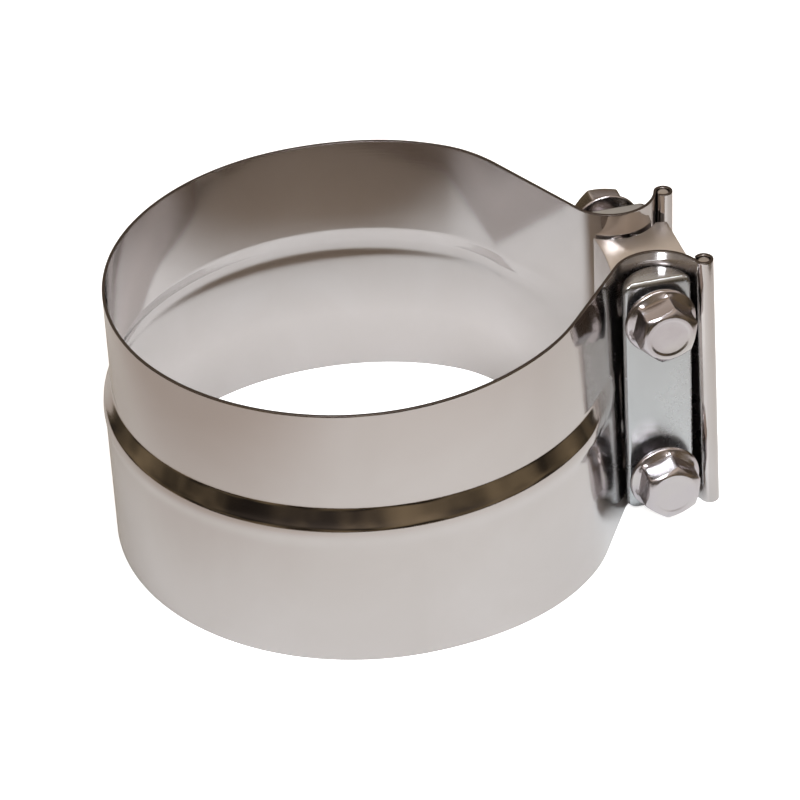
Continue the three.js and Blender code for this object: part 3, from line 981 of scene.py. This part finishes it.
def make_world():
    """White to the camera. Reflections get a dark horizon under a warm, brighter band."""
    world = bpy.data.worlds.new("studio")
    bpy.context.scene.world = world
    world.use_nodes = True
    world.node_tree.nodes.clear()
    n = Nodes(world.node_tree, "Generated")
    sky = n.ramp(n.span(n.axis("Z"), 0.0, 1.0, -1.0, 1.0),
                 [(0.0, (0.016, 0.013, 0.010)), (0.56, (0.018, 0.014, 0.011)),
                  (0.66, (0.10, 0.08, 0.065)), (0.78, (0.66, 0.585, 0.52)),
                  (1.0, (0.25, 0.18, 0.115))])
    patches = n.ramp(n.noise(n.coords, 3.2, 4.0), [(0.42, (0, 0, 0)), (0.68, (0.24, 0.18, 0.105))])
    total = n.add("ShaderNodeMixRGB", blend_type="ADD")
    total.inputs["Fac"].default_value = 1.0
    n.link(sky, total.inputs[1])
    n.link(patches, total.inputs[2])
    light = n.add("ShaderNodeBackground")
    n.link(total.outputs["Color"], light.inputs["Color"])
    seen = n.add("ShaderNodeBackground")
    seen.inputs["Color"].default_value = (0.93, 0.93, 0.93, 1)
    chooser = n.add("ShaderNodeMixShader")
    n.link(n.add("ShaderNodeLightPath").outputs["Is Camera Ray"], chooser.inputs["Fac"])
    n.link(light.outputs[0], chooser.inputs[1])
    n.link(seen.outputs[0], chooser.inputs[2])
    n.link(chooser.outputs[0], n.add("ShaderNodeOutputWorld").inputs["Surface"])


def soft_light(name, azimuth, elevation, distance, size, watts, colour):
    """An area light that looks at the clamp. Azimuth 0 is straight behind it (+Y), 90 is +X."""
    aim_height = 0.04
    a, e = math.radians(azimuth), math.radians(elevation)
    data = bpy.data.lights.new(name, "AREA")
    data.shape = "RECTANGLE"
    data.size, data.size_y = size
    data.energy = watts
    data.color = colour
    lamp = bpy.data.objects.new(name, data)
    bearing = Vector((math.sin(a) * math.cos(e), math.cos(a) * math.cos(e), math.sin(e)))
    where = bearing * distance
    lamp.location = where + Vector((0, 0, aim_height))
    lamp.rotation_euler = (-where).to_track_quat("-Z", "Y").to_euler()
    bpy.context.scene.collection.objects.link(lamp)
    return lamp


make_world()
key = soft_light("key", 171, 50, 0.80, (0.52, 0.22), 7.2, (0.90, 0.99, 1.05))
key.visible_glossy = False
overhead = soft_light("overhead", 168, 64, 1.2, (0.60, 0.20), 3.2, (0.97, 1.0, 1.03))
front_left = soft_light("front_left", 199.7, 37.7, 1.19, (0.28, 0.34), 6.0, (0.97, 1.0, 1.03))

# the key only lights, and the other two only make highlights, on all pieces but the spacer
shining = bpy.data.collections.new("pieces_with_highlights")
for piece in bpy.context.scene.objects:
    if piece.type == "MESH" and piece is not block:
        shining.objects.link(piece)
for lamp in (overhead, front_left):
    lamp.visible_diffuse = False
    lamp.light_linking.receiver_collection = shining

# ---- Camera ----------------------------------------------------------------------------------

# The clamp is turned 12 degrees against the photo's axes. The other three angles are radians.
TURN = math.radians(12)
YAW = 0.0125566681 + TURN
PITCH = 0.610376277
ROLL = -0.0503540636
CAMERA_DISTANCE = 0.8350
CAMERA_HEIGHT = 0.6175
SENSOR_MM = 36
LENS_MM = 3831.6 * SENSOR_MM / 800

forward = Vector((math.sin(YAW) * math.cos(PITCH), math.cos(YAW) * math.cos(PITCH),
                  -math.sin(PITCH)))
level = Vector((math.cos(YAW), -math.sin(YAW), 0))
upright = level.cross(forward)
right = math.cos(ROLL) * level + math.sin(ROLL) * upright
up = -math.sin(ROLL) * level + math.cos(ROLL) * upright
place = Matrix((right, up, -forward)).transposed().to_4x4()
place.translation = Vector((RING_X * MM - CAMERA_DISTANCE * math.sin(TURN),
                            -CAMERA_DISTANCE * math.cos(TURN), CAMERA_HEIGHT))
camera_data = bpy.data.cameras.new("camera")
camera_data.sensor_width = SENSOR_MM
camera_data.lens = LENS_MM
camera = bpy.data.objects.new("camera", camera_data)
camera.matrix_world = place
bpy.context.scene.collection.objects.link(camera)
bpy.context.scene.camera = camera
bpy.context.scene.view_settings.view_transform = "Standard"
